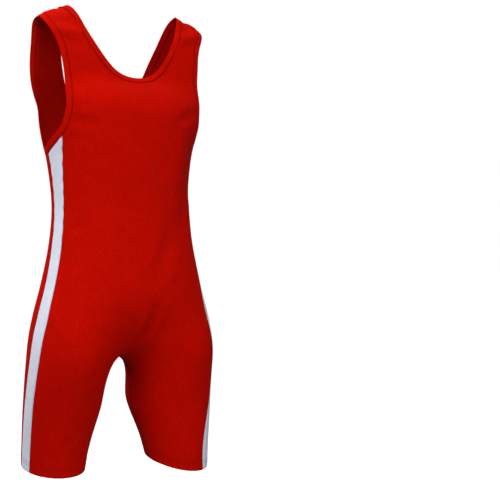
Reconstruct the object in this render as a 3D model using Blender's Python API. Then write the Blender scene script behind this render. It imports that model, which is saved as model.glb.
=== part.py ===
"""A wrestling singlet, worn and hollow: front, back, two side panels and three folded bindings.

Metres, +Z up. The wearer faces -Y and the wearer's right is -X. The origin is at the level of the
shoulder straps. Every piece is a thin wall whose points are read from one body surface, so that pieces
meet along shared seam lines and stay SEAM apart.

The surface has three stretches. Up to the chest line it is a stack of level rings. Above that it is a
fan of half-planes that turn about a line through both armpits, from the front over the shoulder to the
back. Below the crotch it is two legs, each with its own rings.

A place on one half of the surface is (height, turn). height is the level at the wearer's side, and above
the chest line it carries on as an arc round the fan. turn is 0 at the side, -90 degrees at the centre
front or the front of the inseam, and +90 degrees at the centre back or the back of the inseam.
"""
import math
from collections import namedtuple

import bmesh
import bpy
import numpy as np
from mathutils import kdtree

# ---- driving sizes --------------------------------------------------------------------------------
CLOTH = 0.0014          # wall of one layer of knit
BOUND = 0.0024          # wall of a binding, where the knit is folded double
SEAM = 0.0003           # gap between neighbouring pieces
BINDING = 0.012         # finished width of the bindings
CHEST = -0.200          # level of the fan's axis, below the shoulder tops
LEAN = 0.013            # how far the shoulder tops stand ahead of the fan's axis
FAN_ARC = 0.100         # metres of height for each radian round the fan
SHOULDER = CHEST + FAN_ARC * math.pi / 2    # height of the shoulder seam
CROTCH = -0.661         # level of the crotch point
RISE = 0.115            # height over which the torso's rings turn into the legs'
CURL = 0.8              # roundness of the centre line under the crotch; 1 is an ellipse
HIP = CROTCH + RISE     # level where the torso's rings start
ARCH = 0.018            # radius of the arch between the legs
HEM = -0.872            # level of the leg hems at the middle of the thigh
HEM_SLOPE = 0.26        # how much a hem climbs from front to back
STRIDE = 0.018          # how far each leg's hem stands before or behind their mean

RIGHT, LEFT = -1, 1
HEM_LIFT = {RIGHT: 0.0, LEFT: 0.012}        # how much each hem rises towards its inseam
FRONT, BACK = -1, 1
CENTRE = math.pi / 2

# ---- body tables ----------------------------------------------------------------------------------
# Level rings of the torso, from the crotch up to the chest line. width is half the breadth, front and
# back are the y of the centre line, middle is the y of the widest place, square is the exponent.
Ring = namedtuple("Ring", "z width front back middle square")
TORSO = (
    Ring(z=-0.664, width=0.185, front=-0.118, back=0.094, middle=-0.012, square=2.10),
    Ring(z=-0.620, width=0.181, front=-0.123, back=0.107, middle=-0.015, square=2.15),
    Ring(z=-0.574, width=0.171, front=-0.125, back=0.110, middle=-0.018, square=2.20),
    Ring(z=-0.520, width=0.156, front=-0.121, back=0.101, middle=-0.017, square=2.25),
    Ring(z=-0.450, width=0.142, front=-0.113, back=0.084, middle=-0.013, square=2.25),
    Ring(z=-0.376, width=0.136, front=-0.106, back=0.076, middle=-0.009, square=2.25),
    Ring(z=-0.290, width=0.145, front=-0.109, back=0.084, middle=-0.004, square=2.25),
    Ring(z=-0.200, width=0.163, front=-0.109, back=0.084, middle=0.000, square=2.40),
)

# Half-planes of the fan, by degrees from the front (0) over the shoulder top (90) to the back (180).
# reach is the distance from the axis at the centre line, width is half the breadth.
Blade = namedtuple("Blade", "angle reach width square")
FAN = (
    Blade(angle=0, reach=0.109, width=0.163, square=2.4),
    Blade(angle=20, reach=0.095, width=0.165, square=3.0),
    Blade(angle=42, reach=0.0865, width=0.166, square=3.9),
    Blade(angle=58, reach=0.103, width=0.168, square=4.3),
    Blade(angle=74, reach=0.145, width=0.173, square=4.8),
    Blade(angle=90, reach=0.2066, width=0.235, square=2.8),
    Blade(angle=106, reach=0.150, width=0.195, square=4.8),
    Blade(angle=122, reach=0.1135, width=0.187, square=4.4),
    Blade(angle=138, reach=0.0895, width=0.181, square=3.6),
    Blade(angle=158, reach=0.083, width=0.171, square=2.75),
    Blade(angle=180, reach=0.084, width=0.163, square=2.4),
)

# Level rings of one leg. outer and inner are distances from the centre plane, front and back are the
# half-depths before and behind a middle line, which runs from middle on the outer side to seam on the inner.
Leg = namedtuple("Leg", "z outer inner front back middle seam square")
LEG = (
    Leg(z=-0.905, outer=0.184, inner=0.068, front=0.054, back=0.059, middle=0.006, seam=0.008, square=2.0),
    Leg(z=-0.872, outer=0.185, inner=0.064, front=0.057, back=0.061, middle=0.005, seam=0.01, square=2.0),
    Leg(z=-0.827, outer=0.186, inner=0.054, front=0.063, back=0.067, middle=0.002, seam=0.014, square=2.0),
    Leg(z=-0.75, outer=0.188, inner=0.032, front=0.081, back=0.08, middle=-0.004, seam=0.02, square=2.05),
    Leg(z=-0.7, outer=0.187, inner=0.023, front=0.093, back=0.09, middle=-0.008, seam=0.01, square=2.1),
    Leg(z=-0.664, outer=0.185, inner=0.018, front=0.101, back=0.098, middle=-0.012, seam=0.0, square=2.1),
    Leg(z=-0.62, outer=0.18, inner=0.018, front=0.104, back=0.107, middle=-0.015, seam=-0.01, square=2.1),
    Leg(z=-0.574, outer=0.171, inner=0.018, front=0.107, back=0.119, middle=-0.018, seam=-0.018, square=2.1),
)

# ---- edge tables ----------------------------------------------------------------------------------
# The white side panel: how far it reaches ahead of and behind the widest line of each ring, and how much
# farther forward it has turned on the left side, where the leg is ahead.
Strip = namedtuple("Strip", "height ahead behind turned")
STRIP = (
    Strip(height=-0.905, ahead=0.0140, behind=0.0150, turned=0.034),
    Strip(height=-0.830, ahead=0.0145, behind=0.0155, turned=0.041),
    Strip(height=-0.790, ahead=0.0148, behind=0.0158, turned=0.043),
    Strip(height=-0.735, ahead=0.0150, behind=0.0160, turned=0.040),
    Strip(height=-0.690, ahead=0.0170, behind=0.0145, turned=0.042),
    Strip(height=-0.630, ahead=0.0200, behind=0.0125, turned=0.046),
    Strip(height=-0.574, ahead=0.0225, behind=0.0110, turned=0.043),
    Strip(height=-0.520, ahead=0.0230, behind=0.0105, turned=0.031),
    Strip(height=-0.450, ahead=0.0235, behind=0.0100, turned=0.014),
    Strip(height=-0.376, ahead=0.0235, behind=0.0095, turned=0.006),
    Strip(height=-0.315, ahead=0.0300, behind=0.0080, turned=0.002),
    Strip(height=-0.256, ahead=0.0445, behind=0.0050, turned=0.000),
    Strip(height=-0.200, ahead=0.0600, behind=0.0030, turned=0.000),
)

# The finished armhole, from the middle of the side panel's top up to the shoulder seam. On the back it first
# runs down to its lowest place. lift is in degrees up the fan, FAN_ARC to the radian also where it is below
# the chest line; turn is in degrees, as above.
Armhole = namedtuple("Armhole", "step lift turn")
ARMHOLE = {
    FRONT: (
        Armhole(step=0, lift=-36.6, turn=0.0),
        Armhole(step=1, lift=-31.8, turn=-10.6),
        Armhole(step=2, lift=-25.4, turn=-19.8),
        Armhole(step=3, lift=-16.5, turn=-28.2),
        Armhole(step=4, lift=-2.0, turn=-32.6),
        Armhole(step=5, lift=18.0, turn=-37.6),
        Armhole(step=6, lift=38.0, turn=-42.4),
        Armhole(step=7, lift=56.0, turn=-44.0),
        Armhole(step=8, lift=69.5, turn=-43.0),
        Armhole(step=9, lift=79.5, turn=-45.0),
        Armhole(step=10, lift=90.0, turn=-47.2),
    ),
    BACK: (
        Armhole(step=0, lift=-36.6, turn=0.0),
        Armhole(step=1, lift=-40.4, turn=8.6),
        Armhole(step=2, lift=-40.8, turn=17.5),
        Armhole(step=3, lift=-29.5, turn=26.5),
        Armhole(step=4, lift=-5.0, turn=32.4),
        Armhole(step=5, lift=20.0, turn=36.0),
        Armhole(step=6, lift=42.0, turn=40.6),
        Armhole(step=7, lift=58.0, turn=43.0),
        Armhole(step=8, lift=70.0, turn=43.5),
        Armhole(step=9, lift=80.0, turn=46.2),
        Armhole(step=10, lift=90.0, turn=47.2),
    ),
}
ARMHOLE_TOP = 10        # the step at the shoulder seam

# The finished neckline, centre front to centre back: half its breadth at each angle of the fan. Angles
# past 180 lie below the chest line, FAN_ARC to the radian.
Neck = namedtuple("Neck", "step angle across")
NECKLINE = (
    Neck(step=0, angle=42.0, across=0.000),
    Neck(step=1, angle=43.8, across=0.020),
    Neck(step=2, angle=49.0, across=0.039),
    Neck(step=3, angle=58.0, across=0.058),
    Neck(step=4, angle=68.0, across=0.079),
    Neck(step=5, angle=79.0, across=0.102),
    Neck(step=6, angle=90.0, across=0.121),
    Neck(step=7, angle=101.0, across=0.112),
    Neck(step=8, angle=115.0, across=0.099),
    Neck(step=9, angle=132.0, across=0.086),
    Neck(step=10, angle=152.0, across=0.071),
    Neck(step=11, angle=173.0, across=0.052),
    Neck(step=12, angle=189.0, across=0.028),
    Neck(step=13, angle=195.0, across=0.000),
)
NECK_TOP = 6            # the step at the shoulder top

# ---- grids ----------------------------------------------------------------------------------------
COLUMNS = 12            # across half of the front or back
STRIP_COLUMNS = 3       # across a side panel
BINDING_COLUMNS = 2     # across a binding
LEG_ROWS = 10           # hem to crotch
RISE_ROWS = 7           # crotch to the hip level
SIDE_ROWS = 11          # hip level to the armhole, at the side
STRAP_ROWS = 13         # bottom of the armhole to the shoulder seam
CENTRE_ROWS = {FRONT: 15, BACK: 14}     # hip level to the neck binding, at the centre
RELAXING = 3            # rounds of evening out the upper grid
FINE = 400              # points along an edge while it is measured
SETTLING = 60           # rounds of evening out a fine line
SAME = 1e-4             # points nearer than this are one point of the skin
CROTCH_ZONE = {"centre": (0, -0.01, -0.640), "reach": (0.150, 0.190, 0.130), "fade": 0.6, "rounds": 16}

RED = (0.60, 0.010, 0.008, 1.0)
WHITE = (0.78, 0.82, 0.90, 1.0)


def read(table, column, at, ends="flat"):
    """A column of a table anywhere along its first column, on a smooth curve through its rows."""
    places = np.array([row[0] for row in table], float)
    values = np.array([getattr(row, column) for row in table], float)
    slopes = np.zeros(len(table))
    slopes[1:-1] = (values[2:] - values[:-2]) / (places[2:] - places[:-2])
    if ends == "open":
        slopes[[0, -1]] = np.diff(values)[[0, -1]] / np.diff(places)[[0, -1]]
    if ends == "loop":
        slopes[[0, -1]] = (values[1] - values[-2]) / (places[1] - places[0] + places[-1] - places[-2])
    at = np.clip(at, places[0], places[-1])
    i = np.clip(np.searchsorted(places, at) - 1, 0, len(table) - 2)
    span = places[i + 1] - places[i]
    f = (at - places[i]) / span
    rise = f * f * (3 - 2 * f)
    lead_in = f * (1 - f) ** 2 * span * slopes[i]
    run_out = f * f * (f - 1) * span * slopes[i + 1]
    return values[i] + rise * (values[i + 1] - values[i]) + lead_in + run_out


def ease(f):
    """0 to 1 with flat ends."""
    f = np.clip(f, 0, 1)
    return f * f * (3 - 2 * f)


def squared(turn, square):
    """Cosine and sine of a turn, pushed out onto a superellipse."""
    c, s = np.cos(turn), np.sin(turn)
    size = (np.abs(c) ** square + np.abs(s) ** square) ** (1 / square)
    return c / size, s / size


def by_face(turn, at_front, at_back):
    return np.where(turn < 0, at_front, at_back)


# ---- the body surface -----------------------------------------------------------------------------
def torso_ring(side, z, turn):
    """x, y on the level ring at z."""
    middle = read(TORSO, "middle", z)
    depth = by_face(turn, middle - read(TORSO, "front", z), read(TORSO, "back", z) - middle)
    across, out = squared(turn, read(TORSO, "square", z))
    return side * read(TORSO, "width", z) * across, middle + depth * out


def leg_middle(z, across):
    """The y half-way between a leg's front and back."""
    middle, seam = read(LEG, "middle", z), read(LEG, "seam", z)
    return middle + (seam - middle) * (1 - across) / 2


def leg_ring(side, z, turn):
    """x, y on one leg's ring, whose half-circle runs from the outer side to the inseam."""
    outer, inner = read(LEG, "outer", z), read(LEG, "inner", z)
    depth = by_face(turn, read(LEG, "front", z), read(LEG, "back", z))
    across, out = squared(2 * turn, read(LEG, "square", z))
    below = np.clip((CROTCH - z) / ARCH, 0, 1)
    pulled = inner * (1 - np.sqrt(1 - (1 - below) ** 2)) * ((1 - across) / 2) ** 3
    x = (outer + inner) / 2 + (outer - inner) / 2 * across - pulled
    stride = -side * STRIDE * ease((CROTCH - z) / (CROTCH - HEM))
    return side * x, leg_middle(z, across) + stride + depth * out


def lower_body(side, height, turn):
    """Hem to chest line: torso rings that turn into leg rings over the rise."""
    inward = (np.abs(turn) / CENTRE) ** 6
    rise = np.clip((height - CROTCH) / RISE, 0, 1)
    as_leg = (1 - inward) * ease(1 - rise) + inward * (1 - np.sin(CENTRE * rise) ** CURL)
    torso_x, torso_y = torso_ring(side, height, turn)
    leg_x, leg_y = leg_ring(side, height, turn)
    x = torso_x + as_leg * (leg_x - torso_x)
    y = torso_y + as_leg * (leg_y - torso_y)
    curled = CROTCH + RISE * (1 - np.cos(CENTRE * np.minimum(rise, 1)) ** CURL)
    z = np.where((height > CROTCH) & (height < HIP), height + inward * (curled - height), height)
    down = np.clip((CROTCH - height) / (CROTCH - HEM), 0, 1)
    outer, inner = read(LEG, "outer", height), read(LEG, "inner", height)
    inside = np.clip((outer - np.abs(x)) / (outer - inner), 0, 1)
    climb = HEM_SLOPE * (y - read(LEG, "middle", height)) + HEM_LIFT[side] * inside ** 2
    z = z + down ** 2 * climb
    return np.stack([x, y, z], -1)


def upper_body(side, height, turn):
    """Chest line to shoulder top, on the fan."""
    lift = np.degrees((height - CHEST) / FAN_ARC)
    angle = by_face(turn, lift, 180 - lift)
    across, out = squared(turn, read(FAN, "square", angle))
    reach = read(FAN, "reach", angle) * np.abs(out)
    x = side * read(FAN, "width", angle) * across
    angle = np.radians(angle)
    y = -reach * np.cos(angle) - LEAN * np.sin(angle) ** 3
    return np.stack([x, y, CHEST + reach * np.sin(angle)], -1)


def body(side, height, turn):
    """A point of the whole surface."""
    height, turn = np.broadcast_arrays(np.asarray(height, float), np.asarray(turn, float))
    low = lower_body(side, np.minimum(height, CHEST), turn)
    high = upper_body(side, np.maximum(height, CHEST), turn)
    return np.where((height > CHEST)[..., None], high, low)


def slopes_at(side, height, turn):
    """How the surface moves with height and with turn."""
    tiny = 1e-5
    by_height = (body(side, height + tiny, turn) - body(side, height - tiny, turn)) / (2 * tiny)
    by_turn = (body(side, height, turn + tiny) - body(side, height, turn - tiny)) / (2 * tiny)
    return by_height, by_turn


def normals_at(side, height, turn):
    """Unit normals that point away from the body."""
    by_height, by_turn = slopes_at(side, height, turn)
    normal = np.cross(by_height, by_turn) * -side
    return normal / np.linalg.norm(normal, axis=-1, keepdims=True)


# ---- edges on the surface -------------------------------------------------------------------------
def turn_of_out(height, out):
    """The turn at a signed distance from the side line, below the chest line."""
    middle = read(TORSO, "middle", height)
    depth = by_face(out, middle - read(TORSO, "front", height), read(TORSO, "back", height) - middle)
    square = read(TORSO, "square", height)
    part = np.clip(np.abs(out) / depth, 0, 0.999)
    return np.sign(out) * np.arctan2(part, (1 - part ** square) ** (1 / square))


def turn_of_across(face, height, across):
    """The turn at a distance from the centre line."""
    lift = np.degrees((height - CHEST) / FAN_ARC)
    angle = np.where(face == FRONT, lift, 180 - lift)
    width = np.where(height > CHEST, read(FAN, "width", angle), read(TORSO, "width", height))
    square = np.where(height > CHEST, read(FAN, "square", angle), read(TORSO, "square", height))
    part = np.clip(across / width, 0, 0.999)
    return face * np.arctan2((1 - part ** square) ** (1 / square), part)


def strip_turn(side, face, height):
    """The seam between the side panel and the front or back."""
    out = face * read(STRIP, "ahead" if face == FRONT else "behind", height)
    if side == LEFT:
        out = out - read(STRIP, "turned", height)
    on_torso = turn_of_out(height, out)
    part = np.abs(out) / by_face(out, read(LEG, "front", height), read(LEG, "back", height))
    square = read(LEG, "square", height)
    on_leg = np.sign(out) * np.arctan2(part, (1 - part ** square) ** (1 / square)) / 2
    return on_torso + ease((HIP - height) / RISE) * (on_leg - on_torso)


def armhole_edge(face, share):
    """The finished armhole on one face, from the side panel (0) to the shoulder seam (1)."""
    step = share * ARMHOLE_TOP
    lift, turn = read(ARMHOLE[face], "lift", step, "open"), read(ARMHOLE[face], "turn", step, "open")
    return CHEST + FAN_ARC * np.radians(lift), np.radians(turn)


def neck_edge(face, share):
    """The finished neckline on one face, from the centre (0) to the shoulder seam (1)."""
    centre = 0 if face == FRONT else NECKLINE[-1].step
    step = centre + share * (NECK_TOP - centre)
    angle, across = read(NECKLINE, "angle", step), read(NECKLINE, "across", step, "open")
    height = CHEST + FAN_ARC * np.radians(np.where(face == FRONT, angle, 180 - angle))
    return height, turn_of_across(face, height, across)


def settled(values):
    """A fine line's values with small kinks taken out and both ends held."""
    for _ in range(SETTLING):
        values = np.concatenate([values[:1], (values[2:] + values[1:-1] + values[:-2]) / 3, values[-1:]])
    return values


def beside(edge, distance):
    """A line at a distance to one side of an edge, along the surface."""
    height, turn = edge
    for _ in range(3):
        here = body(RIGHT, height, turn)
        by_height, by_turn = slopes_at(RIGHT, height, turn)
        along = np.gradient(here, axis=0)
        across = np.cross(along, np.cross(by_height, by_turn))
        across /= np.linalg.norm(across, axis=1)[:, None]
        basis = np.stack([by_height, by_turn], -1)
        move = np.einsum("nij,nj->ni", np.linalg.pinv(basis), across * distance / 3)
        height, turn = height + move[:, 0], turn + move[:, 1]
    return settled(height), settled(turn)


def opening_lines(edge_at, side_of):
    """An opening's finished edge and its seam on the front and on the back, each from its lower end up
    to the shoulder top, where the two faces meet in one point."""
    edges = {face: edge_at(face, np.linspace(0, 1, FINE)) for face in (FRONT, BACK)}
    seams = {face: beside(edges[face], side_of * face * BINDING) for face in edges}
    for lines in (edges, seams):
        shoulder_turn = np.mean([abs(lines[face][1][-1]) for face in lines])
        for face in lines:
            lines[face][0][-1] = SHOULDER
            lines[face][1][-1] = face * shoulder_turn
    return edges, seams


def armhole_lines():
    return opening_lines(armhole_edge, -1)


def neck_lines():
    edges, seams = opening_lines(neck_edge, 1)
    for face in seams:
        seams[face][1][0] = face * CENTRE
    return edges, seams


def between(values, fractions):
    """Values along a finely divided edge, at fractions of the way along it."""
    return np.interp(fractions, np.linspace(0, 1, len(values)), values)


def even_stations(line, start, stop, count):
    """Fractions that cut the stretch of a fine line between two fractions into even lengths."""
    fractions = np.linspace(start, stop, FINE)
    points = body(RIGHT, between(line[0], fractions), between(line[1], fractions))
    lengths = np.linalg.norm(np.diff(points, axis=0), axis=1)
    run = np.concatenate([[0], np.cumsum(lengths)])
    return np.interp(np.linspace(0, run[-1], count + 1), run, fractions)


def strip_crossing(side, face, seam):
    """How far along the armhole seam the side panel's seam meets it."""
    apart = face * (seam[1] - strip_turn(side, face, seam[0]))[:FINE // 2]
    return np.interp(0, apart, np.linspace(0, 1, FINE)[:FINE // 2])


# ---- grids of places ------------------------------------------------------------------------------
def relax(grid, first_row):
    """Even out the inside of a grid above a row, with its edges held."""
    grid = grid.copy()
    for _ in range(RELAXING):
        grid[first_row:-1, 1:-1] = (grid[first_row:-1, 2:] + grid[first_row:-1, :-2]
                                    + grid[first_row + 1:, 1:-1] + grid[first_row - 1:-2, 1:-1]) / 4
    return grid


def fill(first_edge, last_edge, columns):
    """A grid of places between two edges with the same number of stations."""
    share = np.linspace(0, 1, columns + 1)[None, :, None]
    first = np.stack(first_edge, -1)[:, None]
    last = np.stack(last_edge, -1)[:, None]
    return first + (last - first) * share


def at_stations(line, stations):
    return between(line[0], stations), between(line[1], stations)


def joined(*lines):
    """One line from several that follow on, with each shared end kept once."""
    return tuple(np.concatenate([lines[0][i]] + [line[i][1:] for line in lines[1:]]) for i in (0, 1))


def side_seam(side, face, top):
    """The seam beside the white panel, hem to armhole, with stations closer together at the crotch."""
    legs = CROTCH + (HEM - CROTCH) * np.linspace(1, 0, LEG_ROWS + 1) ** 1.2
    rise = np.linspace(CROTCH, HIP, RISE_ROWS + 1)[1:]
    flank = np.linspace(HIP, top, SIDE_ROWS + 1)[1:]
    height = np.concatenate([legs, rise, flank])
    return height, strip_turn(side, face, height)


def armhole_seam(side, face, seams):
    """The stretch of the armhole seam along the front or back, from the side seam to the shoulder."""
    start = strip_crossing(side, face, seams[face])
    return at_stations(seams[face], even_stations(seams[face], start, 1, STRAP_ROWS))


def neck_rows(face):
    return SIDE_ROWS + STRAP_ROWS - CENTRE_ROWS[face]


def panel_grid(side, face):
    """Half the front or back: its side seam and armhole seam to its inseam, centre and neck seam."""
    upper = armhole_seam(side, face, armhole_lines()[1])
    outer = joined(side_seam(side, face, upper[0][0]), upper)
    neck = neck_lines()[1][face]
    neck_seam = at_stations(neck, even_stations(neck, 0, 1, neck_rows(face)))
    centre = np.linspace(HIP, neck[0][0], FINE), np.full(FINE, face * CENTRE)
    centre = at_stations(centre, even_stations(centre, 0, 1, CENTRE_ROWS[face]))
    inseam = outer[0][:LEG_ROWS + RISE_ROWS + 1], np.full(LEG_ROWS + RISE_ROWS + 1, face * CENTRE)
    return relax(fill(outer, joined(inseam, centre, neck_seam), COLUMNS), LEG_ROWS + RISE_ROWS + 1)


def underarm_seam(side, seams):
    """The armhole seam along the top of the side panel, front to back."""
    low = []
    for face in (FRONT, BACK):
        fractions = np.linspace(0, strip_crossing(side, face, seams[face]), FINE)
        low.append(at_stations(seams[face], fractions))
    whole = joined((low[0][0][::-1], low[0][1][::-1]), low[1])
    return at_stations(whole, even_stations(whole, 0, 1, STRIP_COLUMNS)), whole


def strip_grid(side):
    """The side panel, whose top follows the armhole seam under the arm."""
    top = underarm_seam(side, armhole_lines()[1])[0]
    grid = fill(side_seam(side, FRONT, top[0][0]), side_seam(side, BACK, top[0][-1]), STRIP_COLUMNS)
    grid[-1] = np.stack(top, -1)
    return relax(grid, LEG_ROWS + RISE_ROWS + 1)


def armhole_bands(side):
    """The armhole binding, seam to finished edge: up the front, up the back and under the arm."""
    edges, seams = armhole_lines()
    bands = []
    for face in (FRONT, BACK):
        stations = even_stations(seams[face], strip_crossing(side, face, seams[face]), 1, STRAP_ROWS)
        bands.append(fill(at_stations(seams[face], stations), at_stations(edges[face], stations),
                          BINDING_COLUMNS))
    seam, whole = underarm_seam(side, seams)
    low = [at_stations(edges[face], np.linspace(0, strip_crossing(side, face, seams[face]), FINE))
           for face in (FRONT, BACK)]
    edge = joined((low[0][0][::-1], low[0][1][::-1]), low[1])
    stations = even_stations(whole, 0, 1, STRIP_COLUMNS)
    bands.append(fill(seam, at_stations(edge, stations), BINDING_COLUMNS))
    return bands


def neck_band(face):
    """Half the neck binding's front or back, from seam to finished edge."""
    edges, seams = neck_lines()
    stations = even_stations(seams[face], 0, 1, neck_rows(face))
    return fill(at_stations(seams[face], stations), at_stations(edges[face], stations), BINDING_COLUMNS)


# ---- the skin -------------------------------------------------------------------------------------
def all_patches():
    """Every grid of places, with its piece and its side."""
    patches = []
    for face, name in ((FRONT, "front"), (BACK, "back")):
        patches += [(name, side, panel_grid(side, face)) for side in (RIGHT, LEFT)]
        patches += [("neck_binding", side, neck_band(face)) for side in (RIGHT, LEFT)]
    for side, word in ((RIGHT, "right"), (LEFT, "left")):
        patches.append((f"side_panel_{word}", side, strip_grid(side)))
        patches += [(f"armhole_binding_{word}", side, band) for band in armhole_bands(side)]
    return patches


def outward_quads(side, grid, index, points):
    """The quads of one grid, wound so that they look outwards."""
    quads = np.stack([index[:-1, :-1], index[:-1, 1:], index[1:, 1:], index[1:, :-1]], -1).reshape(-1, 4)
    aways = normals_at(side, grid[..., 0], grid[..., 1])
    aways = (aways[:-1, :-1] + aways[1:, 1:]).reshape(-1, 3)
    facing = np.cross(points[quads[:, 2]] - points[quads[:, 0]], points[quads[:, 3]] - points[quads[:, 1]])
    return quads if np.sum(facing * aways) > 0 else quads[:, ::-1]


def whole_skin():
    """All grids joined along their seams: points, and quads by piece."""
    patches = all_patches()
    spots = [body(side, grid[..., 0], grid[..., 1]) for _, side, grid in patches]
    loose = np.concatenate([spot.reshape(-1, 3) for spot in spots])
    tree = kdtree.KDTree(len(loose))
    for n, point in enumerate(loose):
        tree.insert(point, n)
    tree.balance()
    first = np.array([min(n for _, n, _ in tree.find_range(point, SAME)) for point in loose])
    kept, joined_index = np.unique(first, return_inverse=True)
    points, pieces, start = loose[kept], {}, 0
    for (name, side, grid), spot in zip(patches, spots):
        count = spot.shape[0] * spot.shape[1]
        index = joined_index[start:start + count].reshape(spot.shape[:2])
        pieces.setdefault(name, []).append(outward_quads(side, grid, index, points))
        start += count
    return points, {name: np.concatenate(quads) for name, quads in pieces.items()}


def smooth_crotch(points, quads):
    """Even out the points where the torso forks, fading to none at the edge of that zone."""
    away = np.abs(points - CROTCH_ZONE["centre"]) / CROTCH_ZONE["reach"]
    share = ease((1 - np.linalg.norm(away, axis=1)) / CROTCH_ZONE["fade"])[:, None]
    one, other = quads.ravel(), np.roll(quads, -1, axis=1).ravel()
    for _ in range(CROTCH_ZONE["rounds"]):
        total, count = np.zeros_like(points), np.zeros((len(points), 1))
        for a, b in ((one, other), (other, one)):
            np.add.at(total, a, points[b])
            np.add.at(count, a, 1)
        points = points + share * (total / count - points)
    return points


def skin_normals(points, quads):
    """Unit normals at the points of the whole skin, so that neighbours share them along a seam."""
    facing = np.cross(points[quads[:, 2]] - points[quads[:, 0]], points[quads[:, 3]] - points[quads[:, 1]])
    normals = np.zeros_like(points)
    for corner in range(4):
        np.add.at(normals, quads[:, corner], facing)
    return normals / np.linalg.norm(normals, axis=1, keepdims=True)


# ---- solids ---------------------------------------------------------------------------------------
def rim_edges(quads):
    """Edges with a face on one side only, in that face's direction."""
    edges = set(zip(quads.ravel().tolist(), np.roll(quads, -1, axis=1).ravel().tolist()))
    return sorted((a, b) for a, b in edges if (b, a) not in edges)


def draw_in(points, normals, rim):
    """Move the rim half a seam gap inwards, square to both edges that meet at each point."""
    inwards = {}
    for a, b in rim:
        run = points[b] - points[a]
        for end in (a, b):
            inward = np.cross(normals[end], run)
            inwards.setdefault(end, []).append(inward / np.linalg.norm(inward))
    moved = points.copy()
    for end, (one, other) in inwards.items():
        moved[end] += SEAM / 2 * (one + other) / (1 + np.dot(one, other))
    return moved


def add_wall(name, points, normals, quads, thickness, material):
    """One named solid: a wall of even thickness about its part of the skin."""
    rim = rim_edges(quads)
    points = draw_in(points, normals, rim)
    bm = bmesh.new()
    used = np.unique(quads)
    outer = {n: bm.verts.new(points[n] + normals[n] * thickness / 2) for n in used}
    inner = {n: bm.verts.new(points[n] - normals[n] * thickness / 2) for n in used}
    for quad in quads:
        bm.faces.new([outer[n] for n in quad])
        bm.faces.new([inner[n] for n in reversed(quad)])
    for a, b in rim:
        bm.faces.new([outer[b], outer[a], inner[a], inner[b]])
    bmesh.ops.triangulate(bm, faces=bm.faces[:])
    mesh = bpy.data.meshes.new(name)
    bm.to_mesh(mesh)
    bm.free()
    mesh.shade_smooth()
    mesh.set_sharp_from_angle(angle=math.radians(50))
    mesh.materials.append(material)
    bpy.context.scene.collection.objects.link(bpy.data.objects.new(name, mesh))


def knit(name, colour):
    """Smooth stretch knit with a soft sheen."""
    material = bpy.data.materials.new(name)
    material.use_nodes = True
    shader = material.node_tree.nodes["Principled BSDF"]
    shader.inputs["Base Color"].default_value = colour
    shader.inputs["Roughness"].default_value = 0.55
    shader.inputs["Metallic"].default_value = 0.0
    return material


def build():
    for old in list(bpy.data.objects):
        bpy.data.objects.remove(old)
    red, white = knit("red_knit", RED), knit("white_knit", WHITE)
    points, pieces = whole_skin()
    every = np.concatenate(list(pieces.values()))
    points = smooth_crotch(points, every)
    normals = skin_normals(points, every)
    for name, quads in pieces.items():
        thickness = BOUND if "binding" in name else CLOTH
        material = white if "side_panel" in name else red
        add_wall(name, points, normals, quads, thickness, material)


build()
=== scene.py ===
"""Looks of a wrestling singlet: stretch-knit panels, folded bindings, turned hems and their stitching."""

import math
from collections import namedtuple

import bmesh
import bpy
import numpy as np
from mathutils import Matrix, Vector, kdtree
from mathutils.bvhtree import BVHTree


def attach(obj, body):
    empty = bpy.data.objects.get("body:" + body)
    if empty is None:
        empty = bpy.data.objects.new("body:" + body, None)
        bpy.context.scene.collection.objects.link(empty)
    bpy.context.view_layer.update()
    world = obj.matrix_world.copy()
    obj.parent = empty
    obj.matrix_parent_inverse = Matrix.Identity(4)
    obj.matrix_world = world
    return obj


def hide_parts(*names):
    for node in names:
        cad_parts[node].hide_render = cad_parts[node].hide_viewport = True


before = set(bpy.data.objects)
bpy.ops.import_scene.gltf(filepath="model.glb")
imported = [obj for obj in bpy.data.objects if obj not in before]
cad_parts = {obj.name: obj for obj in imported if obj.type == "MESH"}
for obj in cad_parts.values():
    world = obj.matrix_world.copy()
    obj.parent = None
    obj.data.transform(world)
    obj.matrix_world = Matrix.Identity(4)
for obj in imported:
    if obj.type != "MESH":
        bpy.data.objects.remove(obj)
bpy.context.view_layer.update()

# ---- the worn cloth ---------------------------------------------------------------------------------
# All panels and bindings are one stretch knit, sewn edge to edge and drawn smooth over the figure. So
# the outer walls of their solids are joined at the seams into one sheet, and that sheet is made fine
# and even here. It is creased in the next section and cut into its pieces after that.
PANELS = ("front", "back", "side_panel_right", "side_panel_left")
BINDINGS = ("neck_binding", "armhole_binding_right", "armhole_binding_left")
PIECES = PANELS + BINDINGS
SOLID_CORNER = math.radians(50)     # an edge sharper than this bounds a wall of a solid
WALL_SHARE = 0.35                   # a wall is at least this much of the largest wall; a rim is less
SAME_SPOT = 1e-5                    # vertices closer than this are one
SEAM_REACH = 0.0012                 # farther than the gap that the solids leave at a seam
SMALL_HOLE = 4                      # sides of the largest hole that the joining leaves, and that is filled
FLAT_PAIR = math.radians(40)        # two triangles within this of one plane can be one four-sided face
SQUARE_PAIR = math.radians(70)      # and have its corners within this of square
CHEST = -0.200                      # height of the middle of the chest
CROTCH = -0.661                     # height of the crotch
LEG_AXIS = 0.115                    # distance of each leg's axis from the middle
FINENESS = 2                        # times that each face of the joined sheet is split in four


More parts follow.
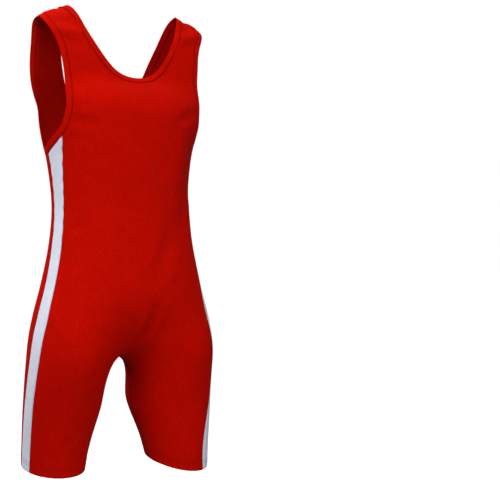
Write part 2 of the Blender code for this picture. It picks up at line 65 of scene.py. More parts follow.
def regions(bm):
    """The faces of bm in groups that no sharp edge crosses, without the narrow ones."""
    waiting, found = dict.fromkeys(bm.faces), []        # not a set, whose order changes from run to run
    while waiting:
        group, reached = [], [waiting.popitem()[0]]
        while reached:
            face = reached.pop()
            group.append(face)
            for edge in face.edges:
                if not edge.is_manifold or edge.calc_face_angle() > SOLID_CORNER:
                    continue
                for other in edge.link_faces:
                    if other in waiting:
                        del waiting[other]
                        reached.append(other)
        found.append(group)
    areas = [sum(face.calc_area() for face in faces) for faces in found]
    return [faces for faces, area in zip(found, areas) if area > WALL_SHARE * max(areas)]


def outwardness(faces):
    """How much the faces look away from the middle of the torso or of their leg."""
    total = 0
    for face in faces:
        place = face.calc_center_median()
        axis = Vector((math.copysign(LEG_AXIS, place.x) if place.z < CROTCH else 0, 0, place.z))
        axis.z = min(axis.z, CHEST)
        total += face.calc_area() * face.normal.dot((place - axis).normalized())
    return total


def add_outer_wall(sheet, name):
    """Adds the outer wall of a node's solid to sheet, marked with the piece's number."""
    solid = bmesh.new()
    solid.from_mesh(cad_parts[name].data)
    bmesh.ops.remove_doubles(solid, verts=solid.verts, dist=SAME_SPOT)
    kept = {face for faces in regions(solid) if outwardness(faces) > 0 for face in faces}
    rest = [face for face in solid.faces if face not in kept]
    bmesh.ops.delete(solid, geom=rest, context="FACES")
    for face in solid.faces:
        face.material_index = PIECES.index(name)
    wall = bpy.data.meshes.new(name)
    solid.to_mesh(wall)
    solid.free()
    sheet.from_mesh(wall)
    bpy.data.meshes.remove(wall)


sheet = bmesh.new()
for name in PIECES:
    add_outer_wall(sheet, name)
bmesh.ops.remove_doubles(sheet, verts=sheet.verts, dist=SEAM_REACH)
rims = [edge for edge in sheet.edges if edge.is_boundary]
holes = bmesh.ops.holes_fill(sheet, edges=rims, sides=SMALL_HOLE)
for face in holes["faces"]:
    face.material_index = next(other.material_index for edge in face.edges for other in edge.link_faces
                               if other is not face)
bmesh.ops.join_triangles(
    sheet, faces=sheet.faces, cmp_materials=True,
    angle_face_threshold=FLAT_PAIR, angle_shape_threshold=SQUARE_PAIR)
coarse = bpy.data.meshes.new("sheet")
sheet.to_mesh(coarse)
sheet.free()
cloth = bpy.data.objects.new("sheet", coarse)
bpy.context.scene.collection.objects.link(cloth)
fine = cloth.modifiers.new("fine", "SUBSURF")
fine.levels = fine.render_levels = FINENESS
sheet = bmesh.new()
sheet.from_object(cloth, bpy.context.evaluated_depsgraph_get())
bpy.data.objects.remove(cloth)

# ---- turned hems ------------------------------------------------------------------------------------
# Each leg ends in a hem, turned up once to the inside and held by two rows of coverstitch. The turned
# cloth lies double, so the band stands a little proud and each row of stitches draws a fine groove round
# it. The grooves get rows of their own in the sheet, cut parallel to the edge of the hem.
HEM_DEPTH = 0.020               # of the turned band
HEM_ROWS = (0.0125, 0.0180)     # the stitch rows, above the hem's edge
HEM_PROUD = 0.0005
GROOVE_DEPTH = 0.0003
GROOVE_WIDTH = 0.0012
CUT_REACH = 0.02                # a face with its middle farther from a groove's plane is not cut by it


def chains(edges):
    """The vertices of edges in order, a list for each chain; a closed one repeats its first vertex."""
    links = {}
    for edge in edges:
        for vert in edge.verts:
            links.setdefault(vert, []).append(edge)
    waiting, found = dict.fromkeys(edges), []
    ends = [vert for vert in links if len(links[vert]) == 1]
    while waiting:
        vert = ends.pop() if ends else next(iter(waiting)).verts[0]
        chain = [vert]
        while True:
            onward = [edge for edge in links[vert] if edge in waiting]
            if not onward:
                break
            del waiting[onward[0]]
            vert = onward[0].other_vert(vert)
            chain.append(vert)
        if len(chain) > 1:
            found.append(chain)
    return found


def mean(points):
    return sum(points, Vector()) / len(points)


def length_of(chain):
    return sum((end.co - start.co).length for start, end in zip(chain, chain[1:]))


# The neck binding has a second rim, hidden at its seam. The opening's own is the shorter, so it comes last.
openings = {}
loops = [chain for chain in chains([edge for edge in sheet.edges if edge.is_boundary])
         if chain[0] == chain[-1]]
for chain in sorted(loops, key=length_of, reverse=True):
    centre = mean([vert.co for vert in chain])
    side = "left" if centre.x > 0 else "right"
    if abs(centre.x) < LEG_AXIS / 2:
        openings["neck"] = [vert.co.copy() for vert in chain]
    else:
        kind = "hem" if centre.z < CROTCH else "armhole"
        openings[f"{kind}_{side}"] = [vert.co.copy() for vert in chain]

sewn = sheet.verts.layers.float.new("sewn")     # 1 where a line of stitches draws the cloth in; the knits paint shade there
hem_lines = {}
for side, sign in (("right", -1), ("left", 1)):
    rim = np.array(openings[f"hem_{side}"][1:])         # without the first vertex, which is there twice
    middle = rim.mean(0)
    across = np.linalg.svd(rim - middle)[2][2]
    up = Vector(across if across[2] > 0 else -across)
    middle = Vector(middle)
    for row in HEM_ROWS:
        for step in (-GROOVE_WIDTH, 0, GROOVE_WIDTH):
            leg = [face for face in sheet.faces if face.calc_center_median().x * sign > 0
                   and abs((face.calc_center_median() - middle).dot(up) - row) < CUT_REACH]
            edges = dict.fromkeys(edge for face in leg for edge in face.edges)
            verts = dict.fromkeys(vert for face in leg for vert in face.verts)
            cut = bmesh.ops.bisect_plane(
                sheet, geom=[*verts, *edges, *leg], dist=SAME_SPOT,
                plane_co=middle + up * (row + step), plane_no=up)
            if step == 0:
                line = chains([part for part in cut["geom_cut"] if isinstance(part, bmesh.types.BMEdge)])
                hem_lines[side, row] = line[0]
    sheet.normal_update()
    for vert in sheet.verts:
        above = (vert.co - middle).dot(up)
        if vert.co.x * sign > 0 and above < 2 * HEM_DEPTH:
            grooves = sum(math.exp(-((above - row) / GROOVE_WIDTH) ** 2) for row in HEM_ROWS)
            fold = 1 / (1 + math.exp((above - HEM_DEPTH) / (GROOVE_WIDTH / 2)))
            # The stitch rows' grooves go into the sewn mask, which the knits darken as painted shade.
            vert[sewn] = grooves / 2
            vert.co += vert.normal * (HEM_PROUD * fold - GROOVE_DEPTH * grooves)

# ---- creases ----------------------------------------------------------------------------------------
# The knit creases softly where the body bends and the bindings pull it in. Each crease is a shallow trough
# with low lips, placed one by one and pressed into the sheet. Three broad, deeper ones are no creases: they
# press in the wearer's left flank and the left of the belly, on that side only.
FRONT, BACK, RIGHT, LEFT, INNER_RIGHT, INNER_LEFT, TOP = range(7)
Look = namedtuple("Look", "along start")
# The way that each face is looked at. Across is x, or y at the sides, and from the top the second is y.
LOOKS = {
    FRONT: Look(Vector((0, 1, 0)), lambda across, z: Vector((across, -1, z))),
    BACK: Look(Vector((0, -1, 0)), lambda across, z: Vector((across, 1, z))),
    RIGHT: Look(Vector((1, 0, 0)), lambda across, z: Vector((-1, across, z))),
    LEFT: Look(Vector((-1, 0, 0)), lambda across, z: Vector((1, across, z))),
    INNER_RIGHT: Look(Vector((-1, 0, 0)), lambda across, z: Vector((0, across, z))),
    INNER_LEFT: Look(Vector((1, 0, 0)), lambda across, z: Vector((0, across, z))),
    TOP: Look(Vector((0, 0, -1)), lambda across, y: Vector((across, y, 1))),
}
CREASE_STATIONS = 48
CREASE_REACH = 3.5      # widths from its line to where a crease is no longer felt
FADE = 0.8              # how soon a crease gets deep from its ends: 1 is a sine, and less is sooner
AVERTED = -0.2          # cloth that is turned farther away than this from the look is not creased
LIP_HEIGHT, LIP_PLACE, LIP_WIDTH = 0.3, 1.9, 0.8        # against the crease's depth and width
Crease = namedtuple("Crease", "face start end bow width depth")     # start and end are (across, z)
CREASES = (
    # over the collar bones, where the straps turn from the shoulder to the chest
    Crease(FRONT, (-0.166, -0.058), (-0.098, -0.068), 0.001, 0.010, -0.0040),
    Crease(FRONT, (0.096, -0.060), (0.164, -0.040), -0.001, 0.010, -0.0040),
    # along the tops of the straps, which sag between their bindings
    Crease(TOP, (-0.134, -0.046), (-0.136, 0.034), 0.000, 0.013, 0.0026),
    Crease(TOP, (0.133, -0.046), (0.136, 0.034), 0.000, 0.013, 0.0036),
    Crease(TOP, (0.112, -0.044), (0.114, 0.004), 0.001, 0.004, 0.0010),
    # from the armholes across the chest
    Crease(FRONT, (-0.142, -0.222), (-0.088, -0.232), -0.003, 0.009, 0.0032),
    Crease(FRONT, (0.124, -0.204), (0.068, -0.226), -0.004, 0.009, 0.0036),
    Crease(FRONT, (-0.128, -0.262), (-0.100, -0.250), 0.002, 0.006, 0.0008),
    # at the waist; the third, fifth and sixth are the broad presses in the flank and the belly
    Crease(FRONT, (0.114, -0.342), (0.062, -0.356), -0.003, 0.008, 0.0022),
    Crease(FRONT, (-0.134, -0.426), (-0.104, -0.420), 0.002, 0.007, 0.0018),
    Crease(FRONT, (0.064, -0.380), (0.004, -0.520), 0.010, 0.015, 0.0038),
    Crease(FRONT, (-0.060, -0.452), (0.004, -0.470), -0.008, 0.012, 0.0006),
    Crease(FRONT, (0.130, -0.225), (0.110, -0.370), 0.000, 0.028, 0.0065),
    Crease(FRONT, (0.104, -0.350), (0.066, -0.475), 0.002, 0.018, 0.0044),
    Crease(FRONT, (-0.100, -0.300), (-0.020, -0.312), 0.004, 0.012, 0.0007),
    Crease(FRONT, (-0.096, -0.362), (-0.010, -0.372), -0.006, 0.011, 0.0007),
    # in the groin and down the thighs
    Crease(FRONT, (0.014, -0.560), (-0.004, -0.646), 0.006, 0.009, 0.0062),
    Crease(FRONT, (-0.028, -0.604), (-0.058, -0.562), 0.006, 0.011, 0.0020),
    Crease(FRONT, (-0.098, -0.660), (-0.086, -0.760), -0.003, 0.012, 0.0010),
    Crease(FRONT, (0.128, -0.700), (0.122, -0.790), 0.004, 0.014, 0.0008),
    # just above the hems in front
    Crease(FRONT, (-0.104, -0.796), (-0.142, -0.832), -0.004, 0.008, 0.0012),
    Crease(FRONT, (0.068, -0.824), (0.086, -0.862), 0.003, 0.005, 0.0010),
    Crease(FRONT, (0.078, -0.816), (0.102, -0.856), 0.004, 0.006, 0.0008),
    # back: from the armholes, at the small of the back, under the seat and above the hems
    Crease(BACK, (-0.126, -0.236), (-0.072, -0.262), 0.004, 0.010, 0.0018),
    Crease(BACK, (0.124, -0.232), (0.060, -0.256), -0.005, 0.009, 0.0016),
    Crease(BACK, (-0.118, -0.352), (-0.040, -0.372), -0.005, 0.010, 0.0015),
    Crease(BACK, (0.116, -0.360), (0.020, -0.384), 0.006, 0.011, 0.0017),
    Crease(BACK, (-0.096, -0.398), (0.012, -0.404), -0.004, 0.009, 0.0011),
    Crease(BACK, (0.104, -0.418), (0.052, -0.428), 0.004, 0.008, 0.0009),
    Crease(BACK, (-0.150, -0.668), (-0.056, -0.690), -0.008, 0.010, 0.0022),
    Crease(BACK, (0.146, -0.662), (0.050, -0.684), 0.008, 0.010, 0.0024),
    Crease(BACK, (-0.128, -0.702), (-0.066, -0.712), -0.005, 0.008, 0.0010),
    Crease(BACK, (0.030, -0.618), (0.006, -0.650), -0.003, 0.009, 0.0020),
    Crease(BACK, (-0.030, -0.622), (-0.006, -0.650), 0.003, 0.009, 0.0018),
    Crease(BACK, (-0.146, -0.800), (-0.100, -0.822), -0.004, 0.008, 0.0011),
    Crease(BACK, (0.150, -0.822), (0.108, -0.836), 0.004, 0.007, 0.0009),
    # between the legs
    Crease(INNER_RIGHT, (-0.030, -0.700), (0.040, -0.720), 0.004, 0.009, 0.0014),
    Crease(INNER_LEFT, (-0.036, -0.694), (0.030, -0.712), 0.004, 0.009, 0.0012),
)


def crease_line(tree, crease):
    """Stations of one crease where it crosses the sheet, and how deep it is at each."""
    start, end = Vector(crease.start), Vector(crease.end)
    aside = (end - start).normalized().orthogonal() * crease.bow
    look = LOOKS[crease.face]
    stations, depths = [], []
    for step in range(CREASE_STATIONS):
        share = step / (CREASE_STATIONS - 1)
        flat = start.lerp(end, share) + aside * 4 * share * (1 - share)
        place = tree.ray_cast(look.start(flat.x, flat.y), look.along)[0]
        if place is not None:
            stations.append(place)
            depths.append(crease.depth * math.sin(math.pi * share) ** FADE)
    return np.array(stations), np.array(depths)


def trough(q):
    """Depth of a crease at q times its width from its line: 1 there, with low lips beside it."""
    return np.exp(-q ** 2) - LIP_HEIGHT * np.exp(-((q - LIP_PLACE) / LIP_WIDTH) ** 2)


sheet.normal_update()
tree = BVHTree.FromBMesh(sheet)
places = np.array([vert.co for vert in sheet.verts])
normals = np.array([vert.normal for vert in sheet.verts])
pressed = np.zeros(len(places))
for crease in CREASES:
    stations, depths = crease_line(tree, crease)
    reach = CREASE_REACH * crease.width
    near = np.flatnonzero(np.all(
        (places > stations.min(0) - reach) & (places < stations.max(0) + reach), axis=1))
    away = np.linalg.norm(places[near, None] - stations[None], axis=2)
    closest = away.argmin(1)
    facing = normals[near] @ -np.array(LOOKS[crease.face].along) > AVERTED
    pressed[near] -= depths[closest] * trough(away.min(1) / crease.width) * facing
for vert, normal, depth in zip(sheet.verts, normals, pressed):
    vert.co += Vector(normal) * depth

# ---- front and back ---------------------------------------------------------------------------------
# Two panels of one smooth, close warp knit in red, sewn edge to edge to their neighbours with flat
# overlocked seams. A seam draws the cloth in to a fine groove with a low ridge beside it, where the seam
# allowances lie under the cloth, so each piece gets narrow rows along its edges.
SEAM_ROWS = (0.0020, 0.0009)        # the narrow rows' distances from the edge
ROW_ROOM = 1.3                      # a row is cut only from faces that are wider than it, by this factor
SEAM_DIP = 0.0008
SEAM_WIDTH = 0.0015
Lap = namedtuple("Lap", "reach sink")   # how far an edge reaches past the middle of its seam, and how deep
PANEL_LAP = Lap(0.0005, 0.00015)
ALLOWANCE_RISE = 0.0003
ALLOWANCE_PLACE = 0.0042            # from the seam to the middle of the ridge
KNIT_THICKNESS = 0.0009
EDGE_ROUNDING = 0.0003
SHARP_EDGE = math.radians(60)       # an edge of a wall that is sharper than this is rounded
LINE_STEP = 0.001                   # spacing of the points that stand for a line
WALE = 0.0007                       # width of one column of loops
COURSE = 0.0006                     # height of one row of loops
GRAIN, CLOUDS = 520, 34             # how fine the grain and the broad unevenness are, per metre
STREAKS = (900, 45)                 # how fine the streaks are across and along the cloth, per metre
TONES = (0.78, 1.20)                # darkest and lightest tone of a knit, against its colour
GROOVE_SHADE_SHARE = 0.65                   # how much painted shade, the darker colour, shows in a sewn groove
RED = (0.585, 0.0040, 0.0005)
RED_REVERSE = (0.57, 0.0060, 0.0008)
# Painted shade: the darker red that the sewn grooves of the red knit are coloured with.
GROOVE_SHADE_RED = (0.26, 0.0030, 0.0004)
RED_GLOSS = (1, 0.06, 0.03)


def points_along(chain, step):
    """Points every step along a chain of places."""
    points = []
    for start, end in zip(chain, chain[1:]):
        count = max(1, math.ceil((end - start).length / step))
        points += [start.lerp(end, number / count) for number in range(count)]
    return points + [chain[-1]]


def tree_of(points):
    tree = kdtree.KDTree(len(points))
    for number, point in enumerate(points):
        tree.insert(point, number)
    tree.balance()
    return tree


sheet.normal_update()
sheet_tree = tree_of([vert.co for vert in sheet.verts])
sheet_normals = [vert.normal.copy() for vert in sheet.verts]
seams = chains([edge for edge in sheet.edges if len(
    {face.material_index for face in edge.link_faces}) == 2])
seams = [[vert.co.copy() for vert in chain] for chain in seams]
seam_tree = tree_of([point for seam in seams for point in points_along(seam, LINE_STEP)])
opening_trees = {name: tree_of(points_along(chain, LINE_STEP)) for name, chain in openings.items()}
hem_lines = {row: [vert.co.copy() for vert in line] for row, line in hem_lines.items()}
whole_sheet = bpy.data.meshes.new("whole sheet")
sheet.to_mesh(whole_sheet)
sheet.free()


def normal_near(point):
    return sheet_normals[sheet_tree.find(point)[1]]


def cut_out(name, lap):
    """The faces of one piece, with narrow rows along its edges that dip to the seams and lap there."""
    piece = bmesh.new()
    piece.from_mesh(whole_sheet)
    others = [face for face in piece.faces if face.material_index != PIECES.index(name)]
    bmesh.ops.delete(piece, geom=others, context="FACES")
    for face in piece.faces:
        face.material_index = 0
        face.smooth = True
    for width in SEAM_ROWS:
        share = {}
        for edge in piece.edges:
            first, second = (vert.is_boundary for vert in edge.verts)
            if first != second and edge.calc_length() > ROW_ROOM * width:
                part = width / edge.calc_length()
                share[edge] = part if first else 1 - part
        bmesh.ops.subdivide_edges(piece, edges=list(share), cuts=1, edge_percents=share, use_grid_fill=True)
    layer = piece.verts.layers.float["sewn"]
    laps = {}
    for vert in piece.verts:
        inner = [edge.other_vert(vert).co for edge in vert.link_edges if not edge.is_boundary]
        if vert.is_boundary and inner and seam_tree.find(vert.co)[2] < SEAM_WIDTH / 4:
            laps[vert] = (vert.co - mean(inner)).normalized() * lap.reach - normal_near(vert.co) * lap.sink
    for vert in piece.verts:
        away = seam_tree.find(vert.co)[2]
        groove = math.exp(-(away / SEAM_WIDTH) ** 2)
        ridge = math.exp(-((away - ALLOWANCE_PLACE) / SEAM_WIDTH) ** 2)
        # Each seam groove goes into the sewn mask, which the knits darken as painted shade.
        vert[layer] = max(vert[layer], groove)
        vert.co += normal_near(vert.co) * (ALLOWANCE_RISE * ridge - SEAM_DIP * groove)
    for vert, shift in laps.items():
        vert.co += shift
    return piece


def sewn_piece(name, piece, thickness, rounding):
    """The cut piece as an object: a wall that lies inside the sheet, with rounded edges."""
    mesh = bpy.data.meshes.new(name)
    piece.to_mesh(mesh)
    piece.free()
    cloth = bpy.data.objects.new(name + "_cloth", mesh)
    bpy.context.scene.collection.objects.link(cloth)
    wall = cloth.modifiers.new("wall", "SOLIDIFY")
    wall.thickness = thickness
    wall.offset = -1
    wall.material_offset = 1
    rounded = cloth.modifiers.new("rounded edges", "BEVEL")
    rounded.width = rounding
    rounded.segments = 2
    rounded.limit_method = "ANGLE"
    rounded.angle_limit = SHARP_EDGE
    rounded.use_clamp_overlap = True
    rounded.harden_normals = True
    return cloth


def lay_flat(cloth):
    """Gives a panel the UV map "cut": the panel laid flat, upright and in metres, at its worn area."""
    mesh = cloth.data
    bpy.context.view_layer.objects.active = cloth
    cloth.select_set(True)
    mesh.uv_layers.new(name="cut")
    bpy.ops.object.mode_set(mode="EDIT")
    bpy.ops.mesh.select_all(action="SELECT")
    bpy.ops.uv.unwrap(method="CONFORMAL", margin=0)
    bpy.ops.object.mode_set(mode="OBJECT")
    cloth.select_set(False)
    corners = np.empty(2 * len(mesh.loops))
    mesh.uv_layers["cut"].uv.foreach_get("vector", corners)
    corners = corners.reshape(-1, 2)
    vert_of = np.array([loop.vertex_index for loop in mesh.loops])
    places = np.array([vert.co for vert in mesh.vertices])[vert_of]
    corners -= corners.mean(0)
    up = np.linalg.lstsq(corners, places[:, 2] - places[:, 2].mean(), rcond=None)[0]
    up /= np.linalg.norm(up)
    corners = corners @ np.array([[up[1], up[0]], [-up[0], up[1]]])
    if (corners[:, 0] * places[:, 0]).sum() * (1 if cloth.name.startswith("front") else -1) < 0:
        corners[:, 0] *= -1
    flat_area = 0
    for face in mesh.polygons:
        x, y = corners[list(face.loop_indices)].T
        flat_area += abs(np.dot(x, np.roll(y, -1)) - np.dot(y, np.roll(x, -1))) / 2
    worn_area = sum(face.area for face in mesh.polygons)
    corners *= math.sqrt(worn_area / flat_area)
    mesh.uv_layers["cut"].uv.foreach_set("vector", corners.ravel())


class Value:
    """A number that changes over a surface, as a socket; operators on it add Math nodes."""

    def __init__(self, finish, socket):
        self.finish, self.socket = finish, socket

    def math(self, operation, *others):
        sockets = dict(enumerate((self,) + others))
        return self.finish.node("ShaderNodeMath", {"operation": operation}, sockets)[0]

    def __add__(self, other):
        return self.math("ADD", other)

    def __mul__(self, other):
        return self.math("MULTIPLY", other)

    def __sub__(self, other):
        return self.math("SUBTRACT", other)


class Finish:
    """One material, made node by node."""

    def __init__(self, name):
        self.material = bpy.data.materials.new(name)
        self.material.use_nodes = True
        self.tree = self.material.node_tree
        self.shader = self.tree.nodes["Principled BSDF"]

    def node(self, kind, settings, sockets):
        """A node of a type, with its settings first and then its sockets' values or links; its outputs."""
        made = self.tree.nodes.new(kind)
        for setting, value in settings.items():
            setattr(made, setting, value)
        self.join(made, sockets)
        return [Value(self, output) for output in made.outputs]

    def join(self, made, sockets):
        for socket, value in sockets.items():
            if isinstance(value, Value):
                self.tree.links.new(value.socket, made.inputs[socket])
            else:
                made.inputs[socket].default_value = value

    def mix(self, share, first, second):
        """A colour between two, by share."""
        first, second = (value if isinstance(value, Value) else (*value, 1) for value in (first, second))
        return self.node("ShaderNodeMix", {"data_type": "RGBA"}, {0: share, 6: first, 7: second})[2]

    def noise(self, place, scale, detail):
        sockets = {"Vector": place, "Scale": scale, "Detail": detail, "Roughness": 0.6}
        return self.node("ShaderNodeTexNoise", {}, sockets)[0]


def knit(name, colour, groove_shade, sheen, tint, reverse=False):
    """Close stretch knit: columns of small loops, a soft sheen, faint streaks and unevenness, and painted
    shade, a darker colour, in the grooves of the sewn lines. Its reverse is duller, with the loops lying
    across. The tint is its gloss's."""
    finish = Finish(name)
    flat = finish.node("ShaderNodeUVMap", {"uv_map": "cut"}, {})[0]
    across, along = finish.node("ShaderNodeSeparateXYZ", {}, {0: flat})[:2]
    if reverse:
        across, along = along, across
    wale = (across * (math.pi / WALE)).math("SINE").math("ABSOLUTE")
    course = ((along * (1 / COURSE) + wale * 0.35) * (2 * math.pi)).math("SINE") * 0.5 + 0.5
    loops = wale * (course * 0.4 + 0.6)
    place = finish.node("ShaderNodeTexCoord", {}, {})[3]
    grain = finish.noise(place, GRAIN, 2)
    cloudy = finish.noise(place, CLOUDS, 3)
    drawn = finish.node("ShaderNodeCombineXYZ", {}, {0: across * STREAKS[0], 1: along * STREAKS[1]})[0]
    streak = finish.noise(drawn, 1, 1)
    tone = (loops * 0.15 + grain * 2.6 + cloudy * 0.5 + streak * 0.8) - 1.55
    even = finish.mix(tone.math("MAXIMUM", 0).math("MINIMUM", 1), [c * TONES[0] for c in colour],
                      [min(1, c * TONES[1]) for c in colour])
    # The sewn mask mixes the base colour towards the darker colour, as painted shade in the seam and hem
    # grooves.
    line = finish.node("ShaderNodeAttribute", {"attribute_name": "sewn"}, {})[2]
    finish.join(finish.shader, {
        "Base Color": finish.mix(line * GROOVE_SHADE_SHARE, even, groove_shade),
        "Roughness": grain * 0.16 + (0.62 if reverse else 0.52),
        "Normal": finish.node("ShaderNodeBump", {}, {
            "Strength": 0.30, "Distance": 0.0003, "Height": loops * 0.7 + grain * 0.6 + streak * 0.3})[0],
        "Specular IOR Level": 0.06,
        "Specular Tint": (*tint, 1),
        "Sheen Weight": sheen,
        "Sheen Roughness": 0.45,
        "Sheen Tint": (*tint, 1)})
    return finish.material


red_face = knit("red knit", RED, GROOVE_SHADE_RED, 0.07, RED_GLOSS)
red_reverse = knit("red knit reverse", RED_REVERSE, GROOVE_SHADE_RED, 0.05, RED_GLOSS, reverse=True)
# Laid flat, before it is stretched over the figure. The widths and lengths are estimates.
Cut = namedtuple("Cut", "width length area")
CUTS = {"front": Cut(0.44, 0.86, 0.252), "back": Cut(0.46, 0.89, 0.270)}
panels = {}
for name, cut in CUTS.items():
    cloth = sewn_piece(name, cut_out(name, PANEL_LAP), KNIT_THICKNESS, EDGE_ROUNDING)
    lay_flat(cloth)
    cloth.data.materials.append(red_face)
    cloth.data.materials.append(red_reverse)
    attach(cloth, "root")
    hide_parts(name)
    panels[name] = cloth

# ---- side panels ------------------------------------------------------------------------------------
# One long narrow panel of the same knit in white runs down each side, from the armhole binding to the hem.
# It is cut straight, sewn in with the same flat seams, and turned up with the hem.
WHITE = (0.93, 0.97, 1.0)
# Painted shade: the darker colour that the sewn grooves of the white knit are coloured with.
WHITE_SHADE = (0.45, 0.48, 0.56)
WHITE_GLOSS = (0.95, 0.97, 1.0)
STRIP_LAP = Lap(0.0008, 0.0003)
white_face = knit("white knit", WHITE, WHITE_SHADE, 0.06, WHITE_GLOSS)
white_reverse = knit("white knit reverse", WHITE, WHITE_SHADE, 0.05, WHITE_GLOSS, reverse=True)
for name in ("side_panel_right", "side_panel_left"):
    cloth = sewn_piece(name, cut_out(name, STRIP_LAP), KNIT_THICKNESS, EDGE_ROUNDING)
    lay_flat(cloth)
    cloth.data.materials.append(white_face)
    cloth.data.materials.append(white_reverse)
    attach(cloth, "root")
    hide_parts(name)
    panels[name] = cloth

# ---- bindings ---------------------------------------------------------------------------------------
# The neckline and armholes are bound with a strip of the red knit, folded in half over the raw edge. The
# folded strip is full: it is rounded from its seam to its outer fold, and stands proud of the panels.
BINDING_THICKNESS = 0.0018
BINDING_PROUD = 0.0005
FOLD_ROUNDING = 0.0007
BINDING_LAP = Lap(0, 0)             # a binding ends at the middle of its seam
BINDING_LENGTHS = (1.00, 0.59, 0.59)
BOUND = ("neck", "armhole_right", "armhole_left")       # the opening of each binding
bindings = {}
for name, opening, length in zip(BINDINGS, BOUND, BINDING_LENGTHS):
    piece = cut_out(name, BINDING_LAP)
    for vert in piece.verts:
        from_seam, from_edge = seam_tree.find(vert.co)[2], opening_trees[opening].find(vert.co)[2]
        share = from_seam / (from_seam + from_edge)
        vert.co += normal_near(vert.co) * BINDING_PROUD * (1 - (2 * share - 1) ** 4)
    run = points_along(openings[opening], LINE_STEP)
    place_of = tree_of(run)
    flat = piece.loops.layers.uv.new("cut")
    for face in piece.faces:
        for loop in face.loops:
            spot = loop.vert.co
            loop[flat].uv = (place_of.find(spot)[1] * LINE_STEP, opening_trees[opening].find(spot)[2])
    cloth = sewn_piece(name, piece, BINDING_THICKNESS, FOLD_ROUNDING)
    cloth.data.materials.append(red_face)
    cloth.data.materials.append(red_reverse)
    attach(cloth, "root")
    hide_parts(name)
    bindings[name] = cloth

# ---- stitching --------------------------------------------------------------------------------------
# Red polyester thread, in short lockstitches: one row along each binding just outside its seam, and two
# rows of coverstitch round each hem. Every stitch is a small pillow that sits in its groove.
HEM_PITCH = 0.0032                      # from one stitch to the next
BINDING_PITCH = HEM_PITCH * 1.04
STITCH = (0.0012, 0.00032, 0.00024)     # half the length, width and height of one stitch
STITCH_LIFT = 0.0001                    # from the cloth to the middle of a stitch
STITCH_INSET = 0.0020                   # from the seam to the row on the binding
ORDER = Vector((1, 10, 100))            # the direction in which a stitch's corners are counted
thread = Finish("red thread")
thread.join(thread.shader, {
    "Base Color": (0.50, 0.006, 0.002, 1), "Roughness": 0.42, "Specular IOR Level": 0.25,
    "Specular Tint": (1, 0.10, 0.06, 1)})


def stations(chain, pitch):
    """Places every pitch along a chain, each with its direction."""
    found, carried = [], 0.0
    for start, end in zip(chain, chain[1:]):
        length = (end - start).length
        while carried < length:
            found.append((start.lerp(end, carried / length), (end - start).normalized()))
            carried += pitch
        carried -= length
    return found


def sew(name, rows):
    """One piece of thread from rows of (place, direction, normal)."""
    bm = bmesh.new()
    bmesh.ops.create_uvsphere(bm, u_segments=6, v_segments=4, radius=1)
    bm.verts.sort(key=lambda vert: vert.co.dot(ORDER))
    bm.faces.sort(key=lambda face: face.calc_center_median().dot(ORDER))
    bm.verts.index_update()
    shape = [vert.co.copy() for vert in bm.verts]
    order = [[vert.index for vert in face.verts] for face in bm.faces]
    order = [corners[at:] + corners[:at] for corners in order for at in [corners.index(min(corners))]]
    bm.clear()
    for place, along, normal in rows:
        turn = Matrix((along, normal.cross(along).normalized(), normal)).transposed()
        turn = turn @ Matrix.Diagonal(STITCH)
        verts = [bm.verts.new(place + turn @ spot) for spot in shape]
        for corners in order:
            bm.faces.new([verts[corner] for corner in corners]).smooth = True
    mesh = bpy.data.meshes.new(name)
    bm.to_mesh(mesh)
    bm.free()
    stitches = bpy.data.objects.new(name, mesh)
    bpy.context.scene.collection.objects.link(stitches)
    mesh.materials.append(thread.material)
    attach(stitches, "root")


def seat(hit, along):
    """The place, direction and normal of a stitch on the cloth, from where the cloth was found."""
    place, normal = hit[:2]
    return place + normal * STITCH_LIFT, (along - normal * along.dot(normal)).normalized(), normal


def skin_of(cloth):
    """A tree of the cloth's outer face, to find its nearest place and normal with."""
    bm = bmesh.new()
    bm.from_mesh(cloth.data)
    tree = BVHTree.FromBMesh(bm)
    bm.free()
    return tree


for name, opening in zip(BINDINGS, BOUND):
    skin, rows = skin_of(bindings[name]), []
    for spot, along in stations(openings[opening], BINDING_PITCH):
        inward = seam_tree.find(spot)[0] - spot
        place = spot + inward * (1 - STITCH_INSET / inward.length)
        rows.append(seat(skin.find_nearest(place), along))
    sew(f"{opening}_stitching", rows)
for side in ("right", "left"):
    skins, rows = [skin_of(panels[name]) for name in ("front", "back", f"side_panel_{side}")], []
    for row in HEM_ROWS:
        for spot, along in stations(hem_lines[side, row], HEM_PITCH):
            nearest = min((skin.find_nearest(spot) for skin in skins), key=lambda hit: hit[3])
            rows.append(seat(nearest, along))
    sew(f"hem_stitching_{side}", rows)

# ---- floor, light and camera ------------------------------------------------------------------------
# A plain pale floor and backdrop, soft lamps round the garment and the camera at its front right.
FLOOR = -1.40
FLOOR_SIZE = 30
COOL = (1.0, 1.03, 1.16)
WORLD_LIGHT, WORLD_SEEN = 0.05, 1.0     # the world's strength on the cloth, and as the camera sees it
bm = bmesh.new()
level = Matrix.Translation((0, 0, FLOOR))
bmesh.ops.create_grid(bm, x_segments=1, y_segments=1, size=FLOOR_SIZE, matrix=level)
plane = bpy.data.meshes.new("floor")
bm.to_mesh(plane)
bm.free()
floor = bpy.data.objects.new("floor", plane)
bpy.context.scene.collection.objects.link(floor)
pale = Finish("pale floor")
pale.join(pale.shader, {
    "Base Color": (0.9, 0.9, 0.9, 1), "Roughness": 0.9,
    "Emission Color": (1, 1, 1, 1), "Emission Strength": 1.0})
floor.data.materials.append(pale.material)
floor.visible_diffuse = False
floor.visible_glossy = False

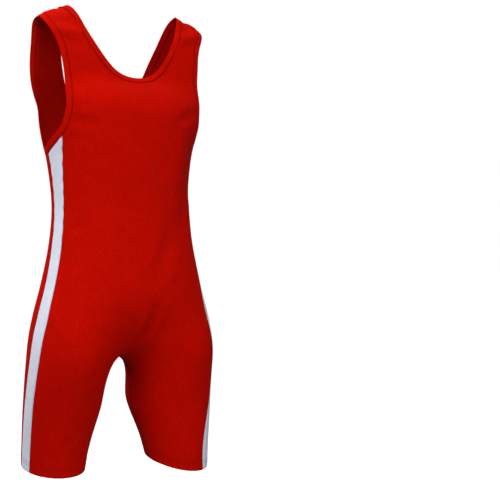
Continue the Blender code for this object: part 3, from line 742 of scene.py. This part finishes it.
world = bpy.data.worlds.new("studio")
bpy.context.scene.world = world
world.use_nodes = True
nodes, links = world.node_tree.nodes, world.node_tree.links
nodes.clear()
path, mix, out = (nodes.new(f"ShaderNode{kind}") for kind in ("LightPath", "MixShader", "OutputWorld"))
links.new(path.outputs["Is Camera Ray"], mix.inputs[0])
links.new(mix.outputs[0], out.inputs["Surface"])
for place, (colour, strength) in enumerate(((COOL, WORLD_LIGHT), ((1, 1, 1), WORLD_SEEN)), 1):
    background = nodes.new("ShaderNodeBackground")
    background.inputs["Color"].default_value = (*colour, 1)
    background.inputs["Strength"].default_value = strength
    links.new(background.outputs[0], mix.inputs[place])

Lamp = namedtuple("Lamp", "name place aim size power shines")       # shines: seen in the cloth's gloss
LAMPS = (
    Lamp("far left", (-2.76, -1.0, 0.22), (0, 0, -0.4), 1.4, 12.5, True),
    Lamp("left", (-1.40, -1.18, 0.65), (0, 0, -0.3), 1.0, 7.6, True),
    Lamp("front left", (-0.95, -1.65, 0.65), (0, 0, -0.3), 1.0, 4.2, True),
    Lamp("front", (-0.51, -2.89, 0.22), (0, 0, -0.4), 1.4, 8, True),
    Lamp("front right", (0.76, -2.83, 0.22), (0, 0, -0.4), 1.4, 7, False),
    Lamp("right", (2.07, -2.07, 0.22), (0, 0, -0.4), 1.4, 1.5, False),
    Lamp("high left", (-2.09, 0.76, 1.61), (0, 0, -0.4), 1.4, 32, False),
    Lamp("top", (0.05, -0.10, 1.35), (0, 0, -0.2), 0.7, 11.5, False),
    Lamp("low front", (0.05, -2.9, -0.95), (0, 0, -0.6), 0.6, 23, False),
    Lamp("back right", (1.43, 1.71, 1.61), (0, 0, -0.4), 1.4, 40, False),
    Lamp("back left", (-1.11, 1.93, 1.61), (0, 0, -0.4), 1.4, 38, False),
)
for lamp in LAMPS:
    light = bpy.data.lights.new(lamp.name, "AREA")
    light.shape = "DISK"
    light.size = lamp.size
    light.energy = lamp.power
    light.color = COOL
    holder = bpy.data.objects.new(lamp.name, light)
    holder.location = lamp.place
    holder.rotation_euler = (Vector(lamp.aim) - Vector(lamp.place)).to_track_quat("-Z", "Y").to_euler()
    holder.visible_glossy = lamp.shines
    bpy.context.scene.collection.objects.link(holder)

camera = bpy.data.objects.new("camera", bpy.data.cameras.new("camera"))
camera.location = (-1.3, -2.25166605, -0.448)
camera.rotation_euler = (math.radians(90), 0, math.radians(-35.567))
camera.data.lens = 97.5
camera.data.sensor_width = 36
bpy.context.scene.collection.objects.link(camera)
bpy.context.scene.camera = camera
bpy.context.scene.view_settings.view_transform = "Standard"
